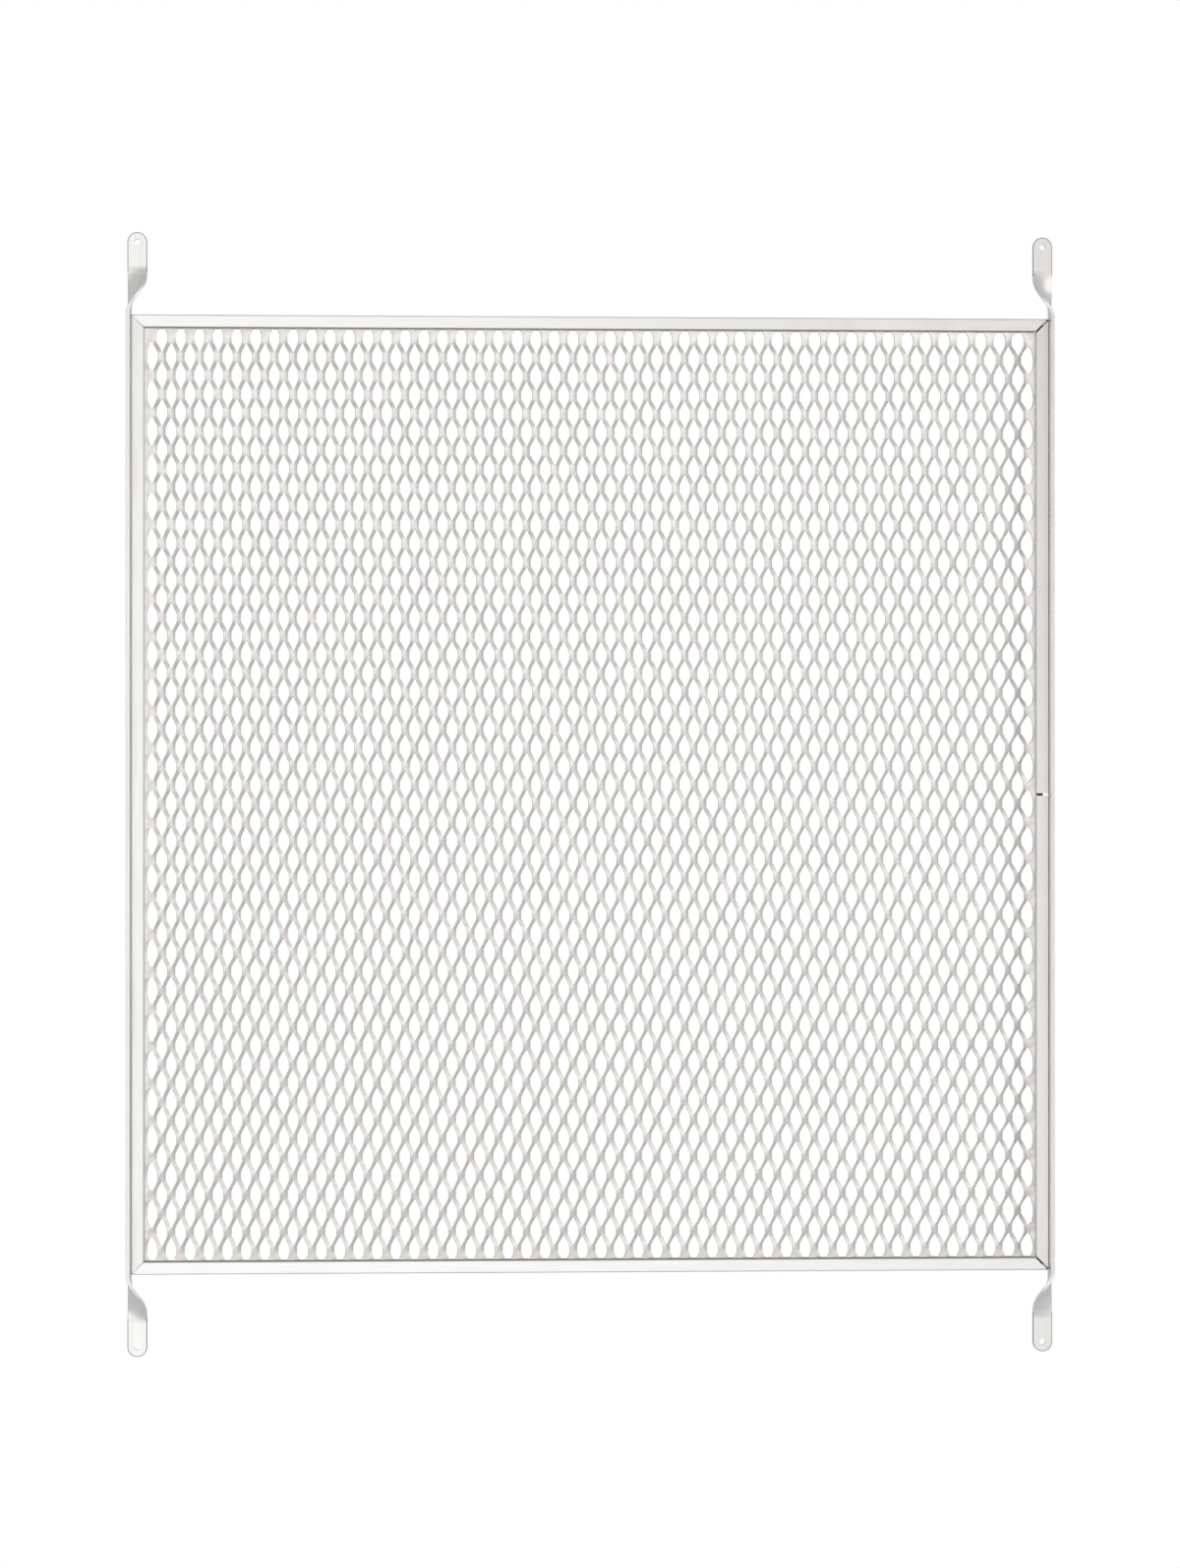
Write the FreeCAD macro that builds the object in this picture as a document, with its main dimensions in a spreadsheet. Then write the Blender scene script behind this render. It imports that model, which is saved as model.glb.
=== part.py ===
"""Screen door guard grille: raised aluminium mesh held in a folded edge channel between two bars.

Frame of reference, in millimetres: X runs across the grille, Z runs up along the bars, and Y runs
from the front (-Y) to the back.  The back of every piece that lies against the door is at Y = 0,
and the origin is the middle of the four screw holes.
"""
import FreeCAD, Part
import math
import os
import Sketcher

Vector = FreeCAD.Vector

# ---------------------------------------------------------------------------
# Driving dimensions: alias, value and what it is
# ---------------------------------------------------------------------------
DIMENSIONS = [
    ("overall_width", 755.6, "across the outer faces of the two bars"),
    ("bar_length", 914.4, "length of each bar, tip to tip: 36 inches"),
    ("bar_width", 15.9, "flat bar stock: 5/8 inch"),
    ("bar_thickness", 3.2, "flat bar stock: 1/8 inch"),
    ("bar_edge_radius", 0.5, "eased long edges of the bar stock"),
    ("frame_height", 779.6, "edge channel, top to bottom"),
    ("channel_face", 11.0, "width of the channel's front and back legs"),
    ("channel_depth", 7.0, "front of the channel to its back"),
    ("channel_wall", 1.0, "sheet thickness of the channel"),
    ("channel_lip", 1.0, "thickness of the lips turned in on the mesh"),
    ("fold_radius", 1.0, "outer radius of the channel's folds"),
    ("lip_radius", 1.6, "outer radius where a leg turns into its lip"),
    ("tight_mitre_gap", 0.4, "gap of a mitre whose folds closed well"),
    ("open_mitre_gap", 1.6, "gap of the two right mitres in the front leg"),
    ("butt_gap", 2.0, "gap between the channel strip's two ends"),
    ("cut_overrun", 1.0, "how far a cut runs past the metal that it ends at"),
    ("twist_length", 40.0, "length over which a bar turns a quarter turn"),
    ("screw_hole_radius", 2.3, "clearance for a No. 8 screw"),
    ("short_pitch", 15.2, "mesh opening to opening, across"),
    ("long_pitch", 30.3, "mesh opening to opening, up and down"),
    ("opening_width", 9.9, "across a mesh opening's two upright sides"),
    ("opening_height", 24.7, "mesh opening, tip to tip"),
    ("opening_side", 5.6, "length of an opening's upright side"),
    ("mesh_thickness", 1.5, "flat mesh with as much metal as the raised strands"),
    ("mesh_inset", 3.6, "gap from the channel's web to the mesh's edge"),
    ("opening_columns", 95, "upright lines of openings, every second one staggered"),
    ("opening_rows", 50, "rows of openings"),
    ("rivet_hole_radius", 1.65, "hole in bar and web"),
    ("rivet_radius", 1.6, "rivet shank: 1/8 inch blind rivet"),
    ("rivet_head_radius", 3.2, "domed head"),
    ("rivet_head_height", 1.1, "domed head"),
    ("rivet_dome_radius", 0.9, "rounding of the head's rim"),
    ("rivet_bulb_radius", 2.4, "upset end inside the channel"),
    ("rivet_tail", 2.4, "length of the upset end"),
    ("rivet_bore_radius", 0.92, "bore for the stem"),
    ("stem_radius", 0.9, "stem left in the rivet"),
    ("stem_recess", 0.5, "the broken stem sits below the head"),
    ("stem_cap_radius", 1.5, "stem's own head, behind the upset end"),
    ("stem_cap", 0.8, "length of the stem's own head"),
    ("end_rivet_inset", 40.0, "outer rivets, from the frame's ends"),
    ("joint_rivet_offset", 30.0, "inner rivets, either side of the mid-height joint"),
]

# Lengths that several pieces share, as formulas on the sheet
HALF_WIDTH = "Sizes.overall_width / 2"
HALF_CHANNEL = "(Sizes.overall_width / 2 - Sizes.bar_thickness)"
HALF_HEIGHT = "Sizes.frame_height / 2"
MID_DEPTH = "Sizes.channel_depth / 2"
RIVET_GRIP = "(Sizes.bar_thickness + Sizes.channel_wall)"
TWIST_STEPS = 10

# Places closer together than this, in millimetres, are the same place
TOUCHING = 1e-6
SIDES = (("left", -1), ("right", 1))

doc = FreeCAD.newDocument("door_guard_grille")
sheet = doc.addObject("Spreadsheet::Sheet", "Sizes")
for row, (alias, number, note) in enumerate(DIMENSIONS, start=1):
    sheet.set("A%d" % row, alias)
    sheet.set("B%d" % row, str(number))
    sheet.set("C%d" % row, note)
    sheet.setAlias("B%d" % row, alias)
doc.recompute()


# ---------------------------------------------------------------------------
# Helpers
# ---------------------------------------------------------------------------
def value(expression):
    """The number that a formula on the sheet gives now."""
    return float(sheet.evalExpression(expression))


def new_body(label):
    body = doc.addObject("PartDesign::Body", label)
    body.Label = label
    return body


def new_sketch(body, name, plane, offset="0"):
    """A sketch on one of the body's origin planes, moved along the plane's normal."""
    sketch = body.newObject("Sketcher::SketchObject", body.Name + "_" + name)
    role = plane + "_Plane"
    support = [part for part in body.Origin.OriginFeatures if part.Role == role][0]
    sketch.AttachmentSupport = [(support, "")]
    sketch.MapMode = "FlatFace"
    sketch.setExpression("AttachmentOffset.Base.z", offset)
    return sketch


def pin(sketch, kind, edge, end, formula):
    """Hold one end of an edge at a distance from the sketch's origin."""
    if formula == "0":
        axis = -2 if kind == "DistanceX" else -1
        sketch.addConstraint(Sketcher.Constraint("PointOnObject", edge, end, axis))
        return
    index = sketch.addConstraint(Sketcher.Constraint(kind, -1, 1, edge, end, value(formula)))
    sketch.setExpression("Constraints[%d]" % index, formula)


def outline(sketch, corners):
    """A closed outline of straight edges; each corner is a pair of formulas."""
    points = [Vector(value(across), value(up), 0) for across, up in corners]
    first = sketch.GeometryCount
    for start, end in zip(points, points[1:] + points[:1]):
        sketch.addGeometry(Part.LineSegment(start, end), False)
    for step, (across, up) in enumerate(corners):
        edge = first + step
        previous = first + (step - 1) % len(corners)
        sketch.addConstraint(Sketcher.Constraint("Coincident", previous, 2, edge, 1))
        pin(sketch, "DistanceX", edge, 1, across)
        pin(sketch, "DistanceY", edge, 1, up)


def centred_rectangle(sketch, half_across, half_up):
    outline(sketch, [("-(%s)" % half_across, "-(%s)" % half_up), (half_across, "-(%s)" % half_up),
                     (half_across, half_up), ("-(%s)" % half_across, half_up)])


def hole(sketch, across, up, radius):
    centre = Vector(value(across), value(up), 0)
    edge = sketch.addGeometry(Part.Circle(centre, Vector(0, 0, 1), value(radius)), False)
    pin(sketch, "DistanceX", edge, 3, across)
    pin(sketch, "DistanceY", edge, 3, up)
    index = sketch.addConstraint(Sketcher.Constraint("Radius", edge, value(radius)))
    sketch.setExpression("Constraints[%d]" % index, radius)


def eased_rectangle(sketch, left, right, low, high, radius):
    """A rectangle with small round corners, held by the places of its four sides."""
    x0, x1, y0, y1 = value(left), value(right), value(low), value(high)
    r = value(radius)
    quarter = math.pi / 2
    normal = Vector(0, 0, 1)
    lines = [((x0 + r, y0), (x1 - r, y0)), ((x1, y0 + r), (x1, y1 - r)),
             ((x1 - r, y1), (x0 + r, y1)), ((x0, y1 - r), (x0, y0 + r))]
    centres = [(x1 - r, y0 + r), (x1 - r, y1 - r), (x0 + r, y1 - r), (x0 + r, y0 + r)]
    for start, end in lines:
        sketch.addGeometry(Part.LineSegment(Vector(*start, 0), Vector(*end, 0)), False)
    for turn, centre in enumerate(centres):
        circle = Part.Circle(Vector(*centre, 0), normal, r)
        arc = Part.ArcOfCircle(circle, (turn - 1) * quarter, turn * quarter)
        sketch.addGeometry(arc, False)
    for turn in range(4):
        sketch.addConstraint(Sketcher.Constraint("Tangent", turn, 2, 4 + turn, 1))
        sketch.addConstraint(Sketcher.Constraint("Tangent", 4 + turn, 2, (turn + 1) % 4, 1))
        kind = "Horizontal" if turn % 2 == 0 else "Vertical"
        sketch.addConstraint(Sketcher.Constraint(kind, turn))
    for turn in range(1, 4):
        sketch.addConstraint(Sketcher.Constraint("Equal", 4, 4 + turn))
    index = sketch.addConstraint(Sketcher.Constraint("Radius", 4, r))
    sketch.setExpression("Constraints[%d]" % index, radius)
    for turn, formula in enumerate((low, right, high, left)):
        pin(sketch, "DistanceY" if turn % 2 == 0 else "DistanceX", turn, 1, formula)


def pad(body, sketch, length, midplane=False, backwards=False):
    feature = body.newObject("PartDesign::Pad", sketch.Name + "_pad")
    feature.Profile = sketch
    feature.setExpression("Length", length)
    feature.Midplane = midplane
    feature.Reversed = backwards
    doc.recompute()
    return feature


def pocket(body, sketch, length=None, backwards=False):
    """Cut a sketch to a depth, or right through both ways, and make sure that it cut something."""
    before = body.Shape.Volume
    feature = body.newObject("PartDesign::Pocket", sketch.Name + "_cut")
    feature.Profile = sketch
    feature.Reversed = backwards
    if length is None:
        feature.Type = 1
        feature.Midplane = True
    else:
        feature.setExpression("Length", length)
    doc.recompute()
    if body.Shape.Volume >= before - TOUCHING:
        raise RuntimeError(sketch.Name + " cuts nothing")
    return feature


def fillet(body, name, radius, wanted):
    """Round every edge of the body that the function named wanted accepts."""
    edges = ["Edge%d" % (i + 1) for i, edge in enumerate(body.Shape.Edges) if wanted(edge)]
    base = body.Tip
    feature = body.newObject("PartDesign::Fillet", body.Name + "_" + name)
    feature.Base = (base, edges)
    feature.setExpression("Radius", radius)
    doc.recompute()
    return feature


def ends_at(edge, axis, place):
    """Whether both ends of an edge lie at one place along an axis."""
    return all(abs(abs(vertex.Point[axis]) - place) < TOUCHING for vertex in edge.Vertexes)


# ---------------------------------------------------------------------------
# Edge channel: one strip, notched and folded at the corners, its ends meeting on the right
# ---------------------------------------------------------------------------
def make_edge_channel():
    body = new_body("edge_channel")
    ring = new_sketch(body, "ring", "XZ")
    centred_rectangle(ring, HALF_CHANNEL, HALF_HEIGHT)
    centred_rectangle(ring, HALF_CHANNEL + " - Sizes.channel_face", HALF_HEIGHT + " - Sizes.channel_face")
    pad(body, ring, "Sizes.channel_depth")

    half_channel, half_height = value(HALF_CHANNEL), value(HALF_HEIGHT)
    face = sheet.channel_face

    def on_rim(edge, inset):
        return ends_at(edge, 0, half_channel - inset) and ends_at(edge, 2, half_height - inset)

    fillet(body, "folds", "Sizes.fold_radius", lambda edge: on_rim(edge, 0))
    fillet(body, "lips", "Sizes.lip_radius",
           lambda edge: on_rim(edge, face) and edge.BoundBox.YLength < TOUCHING)

    slot = new_sketch(body, "slot", "XZ", "Sizes.channel_depth - Sizes.channel_wall")
    centred_rectangle(slot, HALF_CHANNEL + " - Sizes.channel_wall", HALF_HEIGHT + " - Sizes.channel_wall")
    lip_line = " - Sizes.channel_face + Sizes.channel_lip"
    centred_rectangle(slot, HALF_CHANNEL + lip_line, HALF_HEIGHT + lip_line)
    pocket(body, slot, "Sizes.channel_depth - 2 * Sizes.channel_wall")

    mouth = new_sketch(body, "mouth", "XZ", MID_DEPTH + " + Sizes.mesh_thickness / 2")
    centred_rectangle(mouth, HALF_CHANNEL + lip_line, HALF_HEIGHT + lip_line)
    pocket(body, mouth, "Sizes.mesh_thickness")

    leg_and_lip = "(Sizes.channel_depth - Sizes.mesh_thickness) / 2"
    for leg, offset, backwards in (("front", "Sizes.channel_depth", False), ("back", "0", True)):
        mitres = new_sketch(body, leg + "_mitres", "XZ", offset)
        for side, sign in SIDES:
            gapes = leg == "front" and side == "right"
            for up in (1, -1):
                add_mitre(mitres, sign, up, "Sizes.open_mitre_gap" if gapes else "Sizes.tight_mitre_gap")
        pocket(body, mitres, leg_and_lip, backwards)

    joint = new_sketch(body, "joint", "XZ")
    inner = HALF_CHANNEL + " - Sizes.channel_face - Sizes.cut_overrun"
    outer = HALF_CHANNEL + " + Sizes.cut_overrun"
    low, high = "-Sizes.butt_gap / 2", "Sizes.butt_gap / 2"
    outline(joint, [(inner, low), (outer, low), (outer, high), (inner, high)])
    pocket(body, joint)

    for side, sign in SIDES:
        offset = "%d * %s" % (sign, HALF_CHANNEL)
        holes = new_sketch(body, side + "_rivet_holes", "YZ", offset)
        for height in rivet_heights():
            hole(holes, "-" + MID_DEPTH, height, "Sizes.rivet_hole_radius")
        pocket(body, holes, "2 * Sizes.channel_wall", backwards=sign < 0)
    return body


def add_mitre(sketch, sign, up, gap):
    """A narrow diagonal slot from the mouth to the fold, at one corner of the frame."""
    start, end = "Sizes.channel_wall", "(Sizes.channel_face + Sizes.cut_overrun / 2)"
    corners = []
    for inset, lean in ((start, 1), (end, 1), (end, -1), (start, -1)):
        across = "%d * (%s - %s + %d * %s * sqrt(1 / 8))" % (sign, HALF_CHANNEL, inset, lean, gap)
        along = "%d * (%s - %s - %d * %s * sqrt(1 / 8))" % (up, HALF_HEIGHT, inset, lean, gap)
        corners.append((across, along))
    outline(sketch, corners)


def rivet_heights():
    """Heights of the four rivets of one bar, from the top down."""
    outer = "(Sizes.frame_height / 2 - Sizes.end_rivet_inset)"
    inner = "Sizes.joint_rivet_offset"
    return [outer, inner, "-" + inner, "-" + outer]


# ---------------------------------------------------------------------------
# Mounting bars: flat bar on edge, each end twisted a quarter turn into a screw tab
# ---------------------------------------------------------------------------
def bar_section(body, name, sign, height, angle):
    """The bar's section, turned by an angle in the corner of the outer line and the back plane."""
    sketch = new_sketch(body, name, "XY", height)
    sketch.setExpression("AttachmentOffset.Base.x", "%d * %s" % (sign, HALF_WIDTH))
    sketch.setExpression("AttachmentOffset.Base.y", "-Sizes.bar_thickness * sin(%s)" % angle)
    sketch.setExpression("AttachmentOffset.Rotation.Angle", "%d * %s" % (-sign, angle))
    inward = ("-Sizes.bar_thickness", "0") if sign > 0 else ("0", "Sizes.bar_thickness")
    eased_rectangle(sketch, inward[0], inward[1], "-Sizes.bar_width", "0", "Sizes.bar_edge_radius")
    return sketch


def make_mounting_bar(side, sign):
    body = new_body(side + "_mounting_bar")
    middle = bar_section(body, "middle", sign, "0", "0 deg")
    pad(body, middle, "Sizes.frame_height", midplane=True)

    sections = []
    for step in range(TWIST_STEPS + 1):
        part = step / TWIST_STEPS
        eased = part * part * (3 - 2 * part)
        angle = "%.3f deg" % (90 * eased)
        height = "%s + %.4f * Sizes.twist_length" % (HALF_HEIGHT, part)
        sections.append(bar_section(body, "twist_%d" % step, sign, height, angle))
    twist = body.newObject("PartDesign::AdditiveLoft", body.Name + "_twist")
    twist.Profile = sections[0]
    twist.Sections = sections[1:]
    doc.recompute()

    end_centre = "Sizes.bar_length / 2 - Sizes.bar_width / 2"
    blade = bar_section(body, "blade", sign, HALF_HEIGHT + " + Sizes.twist_length", "90 deg")
    tab = pad(body, blade, end_centre + " - " + HALF_HEIGHT + " - Sizes.twist_length")

    half = new_sketch(body, "tip", "XY", end_centre)
    half.setExpression("AttachmentOffset.Base.x", "%d * (%s - Sizes.bar_width / 2)" % (sign, HALF_WIDTH))
    half_section(half)
    tip = body.newObject("PartDesign::Revolution", body.Name + "_tip_turn")
    tip.Profile = half
    tip.ReferenceAxis = (half, ["V_Axis"])
    tip.Angle = 180
    tip.Reversed = True
    doc.recompute()

    mirror = body.newObject("PartDesign::Mirrored", body.Name + "_other_end")
    mirror.Originals = [twist, tab, tip]
    xy_plane = [part for part in body.Origin.OriginFeatures if part.Role == "XY_Plane"][0]
    mirror.MirrorPlane = (xy_plane, [""])
    body.Tip = mirror
    doc.recompute()

    screws = new_sketch(body, "screw_holes", "XZ")
    across = "%d * (%s - Sizes.bar_width / 2)" % (sign, HALF_WIDTH)
    for up in ("", "-"):
        hole(screws, across, "%s(%s)" % (up, end_centre), "Sizes.screw_hole_radius")
    pocket(body, screws)

    rivets = new_sketch(body, "rivet_holes", "YZ")
    for height in rivet_heights():
        hole(rivets, "-" + MID_DEPTH, height, "Sizes.rivet_hole_radius")
    pocket(body, rivets)
    return body


def half_section(sketch):
    """Half of the flat tab's section, from the screw hole's axis to the rounded edge."""
    reach, deep, r = value("Sizes.bar_width / 2"), sheet.bar_thickness, sheet.bar_edge_radius
    lines = [((0, 0), (0, -deep)), ((0, -deep), (reach - r, -deep)),
             ((reach, -deep + r), (reach, -r)), ((reach - r, 0), (0, 0))]
    for start, end in lines:
        sketch.addGeometry(Part.LineSegment(Vector(*start, 0), Vector(*end, 0)), False)
    for centre, first, last in (((reach - r, -deep + r), -90, 0), ((reach - r, -r), 0, 90)):
        circle = Part.Circle(Vector(*centre, 0), Vector(0, 0, 1), r)
        sketch.addGeometry(Part.ArcOfCircle(circle, math.radians(first), math.radians(last)), False)
    for first, second in ((0, 1), (3, 0)):
        sketch.addConstraint(Sketcher.Constraint("Coincident", first, 2, second, 1))
    for first, second in ((1, 4), (4, 2), (2, 5), (5, 3)):
        sketch.addConstraint(Sketcher.Constraint("Tangent", first, 2, second, 1))
    for kind, edge in (("Vertical", 0), ("Horizontal", 1), ("Vertical", 2), ("Horizontal", 3)):
        sketch.addConstraint(Sketcher.Constraint(kind, edge))
    sketch.addConstraint(Sketcher.Constraint("Coincident", 0, 1, -1, 1))
    sketch.addConstraint(Sketcher.Constraint("Equal", 4, 5))
    index = sketch.addConstraint(Sketcher.Constraint("Radius", 4, r))
    sketch.setExpression("Constraints[%d]" % index, "Sizes.bar_edge_radius")
    pin(sketch, "DistanceY", 1, 1, "-Sizes.bar_thickness")
    pin(sketch, "DistanceX", 2, 1, "Sizes.bar_width / 2")


# ---------------------------------------------------------------------------
# Blind rivets: a hollow body with a domed head and an upset end, and the stem left inside
# ---------------------------------------------------------------------------
def place_rivet(body, sign, height):
    """Head against the bar's outer face, shank pointing inwards."""
    if sign > 0:
        body.Placement.Rotation = FreeCAD.Rotation(Vector(0, 0, 1), 180)
    body.setExpression("Placement.Base.x", "%d * %s" % (sign, HALF_WIDTH))
    body.setExpression("Placement.Base.y", "-" + MID_DEPTH)
    body.setExpression("Placement.Base.z", height)


def turn(body, sketch):
    feature = body.newObject("PartDesign::Revolution", sketch.Name + "_turn")
    feature.Profile = sketch
    feature.ReferenceAxis = (sketch, ["H_Axis"])
    feature.Angle = 360
    doc.recompute()


def make_rivet(label, sign, height):
    body = new_body(label)
    head, bore = "-Sizes.rivet_head_height", "Sizes.rivet_bore_radius"
    tail = RIVET_GRIP + " + Sizes.rivet_tail"
    sketch = new_sketch(body, "profile", "XY")
    shank, bulb = "Sizes.rivet_radius", "Sizes.rivet_bulb_radius"
    outline(sketch, [(head, bore), (head, "Sizes.rivet_head_radius"), ("0", "Sizes.rivet_head_radius"),
                     ("0", shank), (RIVET_GRIP, shank), (RIVET_GRIP, bulb), (tail, bulb), (tail, bore)])
    turn(body, sketch)
    front, back = value(head), value(tail)

    def rounded(edge):
        box = edge.BoundBox
        at_an_end = min(abs(box.XMin - front), abs(box.XMin - back)) < TOUCHING
        return box.XLength < TOUCHING and at_an_end and box.YMax > sheet.rivet_radius

    fillet(body, "rounding", "Sizes.rivet_dome_radius", rounded)
    place_rivet(body, sign, height)
    return body


def make_rivet_stem(label, sign, height):
    body = new_body(label)
    broken_end = "Sizes.stem_recess - Sizes.rivet_head_height"
    tail = RIVET_GRIP + " + Sizes.rivet_tail"
    cap = tail + " + Sizes.stem_cap"
    sketch = new_sketch(body, "profile", "XY")
    outline(sketch, [(broken_end, "0"), (broken_end, "Sizes.stem_radius"), (tail, "Sizes.stem_radius"),
                     (tail, "Sizes.stem_cap_radius"), (cap, "Sizes.stem_cap_radius"), (cap, "0")])
    turn(body, sketch)
    place_rivet(body, sign, height)
    return body


# ---------------------------------------------------------------------------
# Mesh panel: a flat sheet with staggered six-sided openings and a plain margin all round
# ---------------------------------------------------------------------------
def upright_edge(line, lean, rows):
    """One side of a line of openings, from the bottom of the sheet to its top.

    lean is +1 for the openings' right halves and -1 for their left halves.  Each entry is a point
    and whether the stretch above it is joined to the strand on the other side of the line.
    """
    across = (line - (sheet.opening_columns + 1) / 2) * sheet.short_pitch / 2
    half_width, side = sheet.opening_width / 2, sheet.opening_side / 2
    tip = sheet.opening_height / 2
    half_sheet = value(HALF_HEIGHT) - sheet.channel_wall - sheet.mesh_inset
    points = [(across, -half_sheet, True)]
    for row in range(rows):
        if (line + row) % 2 == 0:
            continue
        middle = (row - (rows - 1) / 2) * sheet.long_pitch / 2
        points.append((across, middle - tip, False))
        points.append((across + lean * half_width, middle - side, False))
        points.append((across + lean * half_width, middle + side, False))
        points.append((across, middle + tip, True))
    points.append((across, half_sheet, False))
    return points


def sheet_margin(sign):
    """The plain left or right edge of the sheet."""
    across = sign * (value(HALF_CHANNEL) - sheet.channel_wall - sheet.mesh_inset)
    half_sheet = value(HALF_HEIGHT) - sheet.channel_wall - sheet.mesh_inset
    return [(across, -half_sheet, False), (across, half_sheet, False)]


def make_mesh_panel():
    """Each strand between two lines of openings gives a front, a back and its free sides."""
    lines, rows = int(sheet.opening_columns), int(sheet.opening_rows)
    front = -(value(MID_DEPTH) + sheet.mesh_thickness / 2)
    through = Vector(0, sheet.mesh_thickness, 0)
    faces = []
    for strand in range(lines + 1):
        left = upright_edge(strand, 1, rows) if strand > 0 else sheet_margin(-1)
        right = upright_edge(strand + 1, -1, rows) if strand < lines else sheet_margin(1)
        corners = [Vector(x, front, z) for x, z, _ in left + right[::-1]]
        face = Part.Face(Part.makePolygon(corners + corners[:1]))
        faces.append(face)
        faces.append(face.translated(through))
        ends = [(left[0], right[0]), (left[-1], right[-1])]
        free_sides = [pair for edge in (left, right) for pair in zip(edge, edge[1:]) if not pair[0][2]]
        for (x0, z0, _), (x1, z1, _) in ends + free_sides:
            side = Part.makeLine(Vector(x0, front, z0), Vector(x1, front, z1))
            faces.append(side.extrude(through))
    skin = Part.makeCompound(faces)
    skin.sewShape(10 * TOUCHING)
    solid = Part.Solid(skin.Shells[0])
    if solid.Volume < 0:
        solid.reverse()
    panel = doc.addObject("Part::Feature", "mesh_panel")
    panel.Label = "mesh_panel"
    panel.Shape = solid
    panel.Placement = FreeCAD.Placement()
    return panel


# ---------------------------------------------------------------------------
# Build, check and write
# ---------------------------------------------------------------------------
pieces = [make_edge_channel()]
for side, sign in SIDES:
    pieces.append(make_mounting_bar(side, sign))
    for number, height in enumerate(rivet_heights(), start=1):
        pieces.append(make_rivet("%s_rivet_%d" % (side, number), sign, height))
        pieces.append(make_rivet_stem("%s_rivet_stem_%d" % (side, number), sign, height))
doc.recompute()
pieces.append(make_mesh_panel())

for item in doc.Objects:
    if "Invalid" in item.State or "Error" in item.State:
        raise RuntimeError(item.Name + " failed: " + str(item.State))
os.makedirs("parts", exist_ok=True)
for piece in pieces:
    shape = piece.Shape
    if shape.isNull() or not shape.isValid() or len(shape.Solids) != 1:
        raise RuntimeError(piece.Label + " is not one valid solid")
    shape.exportStep("parts/%s.step" % piece.Label)
    box = shape.BoundBox
    print("%-22s %9.1f mm3  %7.1f x %6.1f x %6.1f mm"
          % (piece.Label, shape.Volume, box.XLength, box.YLength, box.ZLength))
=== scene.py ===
# %% [markdown]
# # A guard grille for a screen door
# The grille is a sheet of raised aluminium mesh in a folded channel, hung between two flat bars whose ends
# are twisted into screw tabs. The CAD model already holds every piece at its real size. This lesson builds
# the looks around it: the one piece whose true shape is too fine for CAD, which is the raised mesh, and a
# metal finish for everything else.

# %% Load the frame
import math

import bpy
import numpy as np
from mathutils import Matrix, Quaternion, Vector


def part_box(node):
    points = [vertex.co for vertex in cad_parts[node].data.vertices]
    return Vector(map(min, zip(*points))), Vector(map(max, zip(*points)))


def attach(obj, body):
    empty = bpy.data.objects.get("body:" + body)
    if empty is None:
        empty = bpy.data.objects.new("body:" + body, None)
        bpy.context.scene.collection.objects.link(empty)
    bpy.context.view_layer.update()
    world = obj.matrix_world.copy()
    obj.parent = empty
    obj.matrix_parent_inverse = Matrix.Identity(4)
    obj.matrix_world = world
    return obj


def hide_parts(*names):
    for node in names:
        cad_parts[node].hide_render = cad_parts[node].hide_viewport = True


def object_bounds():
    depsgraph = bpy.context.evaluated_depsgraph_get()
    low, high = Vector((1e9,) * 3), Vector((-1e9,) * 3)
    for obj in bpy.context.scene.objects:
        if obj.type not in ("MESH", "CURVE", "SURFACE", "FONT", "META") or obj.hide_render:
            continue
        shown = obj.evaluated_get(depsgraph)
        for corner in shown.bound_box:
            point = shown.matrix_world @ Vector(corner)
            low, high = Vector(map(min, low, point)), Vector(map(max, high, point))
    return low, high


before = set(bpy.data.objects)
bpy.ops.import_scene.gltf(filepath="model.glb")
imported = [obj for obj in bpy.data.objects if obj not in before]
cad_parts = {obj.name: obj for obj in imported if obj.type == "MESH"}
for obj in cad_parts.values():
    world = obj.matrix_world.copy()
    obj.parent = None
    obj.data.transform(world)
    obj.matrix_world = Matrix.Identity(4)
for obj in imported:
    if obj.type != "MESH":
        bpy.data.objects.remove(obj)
cad_low, cad_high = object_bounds()
MM = 0.001
print("nodes:", len(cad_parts), "size:", [round(side / MM, 1) for side in cad_high - cad_low], "mm")

# %% [markdown]
# ## The raised mesh
# Raised mesh is made from one flat sheet. A press cuts rows of short upright slits and pulls the sheet
# sideways, so each slit opens into a tall diamond and the metal between the slits becomes strands. The pull
# also turns every strand out of the sheet's plane, which is why the mesh feels like a cheese grater.
# A flat pattern of holes would give the outline but not that relief, and a bump map can't turn a strand.
# So the mesh is built strand by strand, the way the press leaves it: strand 0 to 95 from left to right, each
# one climbing from the bottom margin to the top and leaning against its left and right neighbour in turn.
# Between two such bonds runs a leg. The legs that climb to the right are turned further out of the sheet
# than the ones that climb to the left, so the two kinds catch the light differently.

# %% Sizes of the raised mesh
panel_low, panel_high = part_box("mesh_panel")
SHORT_PITCH = 15.2 * MM
LONG_PITCH = 30.3 * MM
BETWEEN_LINES = SHORT_PITCH / 2
BETWEEN_ROWS = LONG_PITCH / 2
STRANDS = 96
ROWS = 50
BOND_HEIGHT = 5.6 * MM
OPENING_HEIGHT = BOND_HEIGHT + 2 * (BETWEEN_ROWS - BOND_HEIGHT)
STRAND_WIDTH = 3.6 * MM
STRAND_THICKNESS = 1.2 * MM
STRAND_TILT = math.radians(38)
BOND_BEND = math.radians(9)
LEG_TWIST = math.radians(18)
LEG_STEPS = 3
EASING = 0.12
SHARP_EDGE = math.radians(60)
print("strand", STRAND_WIDTH / MM, "x", STRAND_THICKNESS / MM, "mm")
print("opening height", OPENING_HEIGHT / MM, "mm")

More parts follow.
